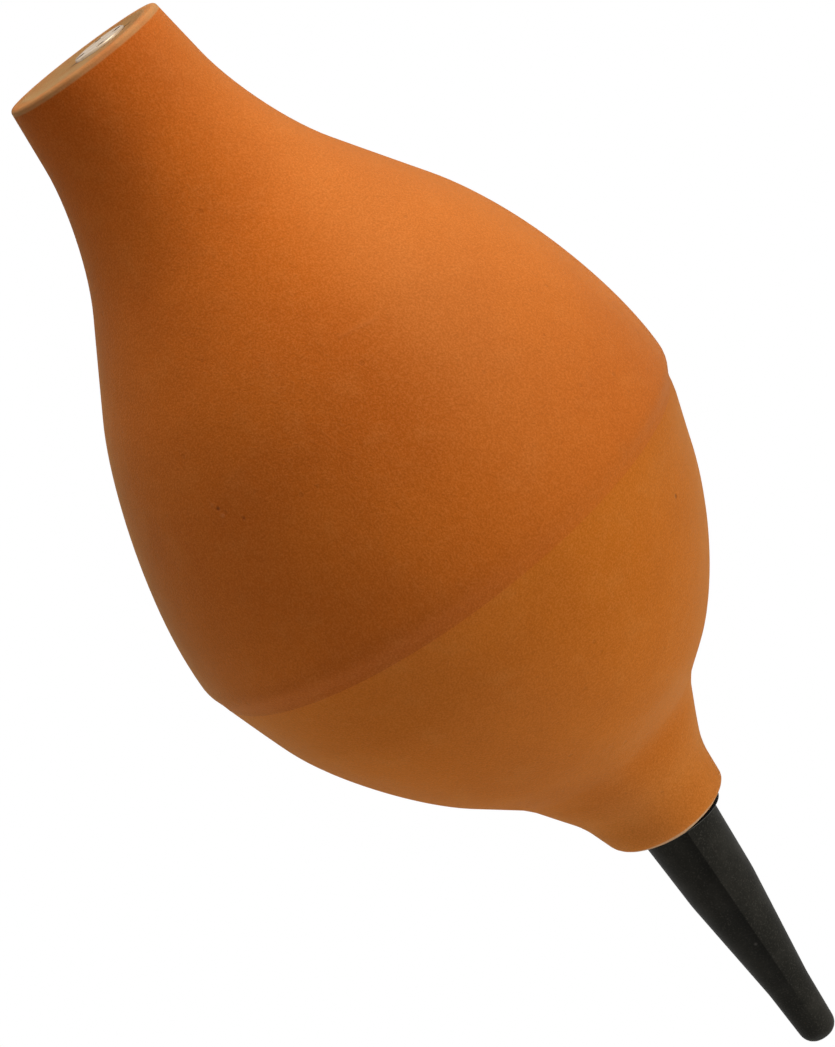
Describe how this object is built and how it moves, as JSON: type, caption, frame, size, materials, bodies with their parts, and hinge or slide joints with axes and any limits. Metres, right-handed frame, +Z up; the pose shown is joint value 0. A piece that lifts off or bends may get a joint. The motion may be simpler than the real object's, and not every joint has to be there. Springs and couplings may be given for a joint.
{
  "type": "dust blower bulb",
  "caption": "Rubber bulb dust blower with a flared flat foot, an intake valve in the foot and a tapered plastic nozzle.",
  "frame": {"origin": "centre of the foot's flat face, which is the lowest face", "axes": "+Z up the bulb's axis from the foot to the nozzle, -X towards the intake valve's side of the foot, right-handed"},
  "size_m": [0.055, 0.055, 0.1242],
  "materials": {
    "rear_rubber": "matte orange rubber with fine pores",
    "front_rubber": "matte orange-tan rubber with fine pores",
    "black_plastic": "black moulded plastic, fine satin grain",
    "valve_metal": "satin turned",
    "disc_rubber": "smooth black sheet rubber",
    "cage_plastic": "natural white moulding"
  },
  "bodies": {
    "base": {"rear_shell": "rear_rubber", "valve_body": "valve_metal", "valve_cage": "cage_plastic"},
    "front": {"front_shell": "front_rubber"},
    "nozzle": {"nozzle": "black_plastic"},
    "intake_disc": {"valve_disc": "disc_rubber"}
  },
  "joints": [
    {"name": "squeeze", "type": "slide", "parent": "base", "child": "front", "axis": [0, 0, 1], "range_m": [-0.015, 0], "stiffness_N_per_m": 1500, "springref_m": 0.0005, "deforming": ["rear_shell"]},
    {"name": "nozzle_pull", "type": "slide", "parent": "front", "child": "nozzle", "axis": [0.0471, 0, 0.9989], "range_m": [0, 0.012]},
    {"name": "intake_lift", "type": "slide", "parent": "base", "child": "intake_disc", "axis": [0, 0, 1], "range_m": [0, 0.0008]}
  ]
}
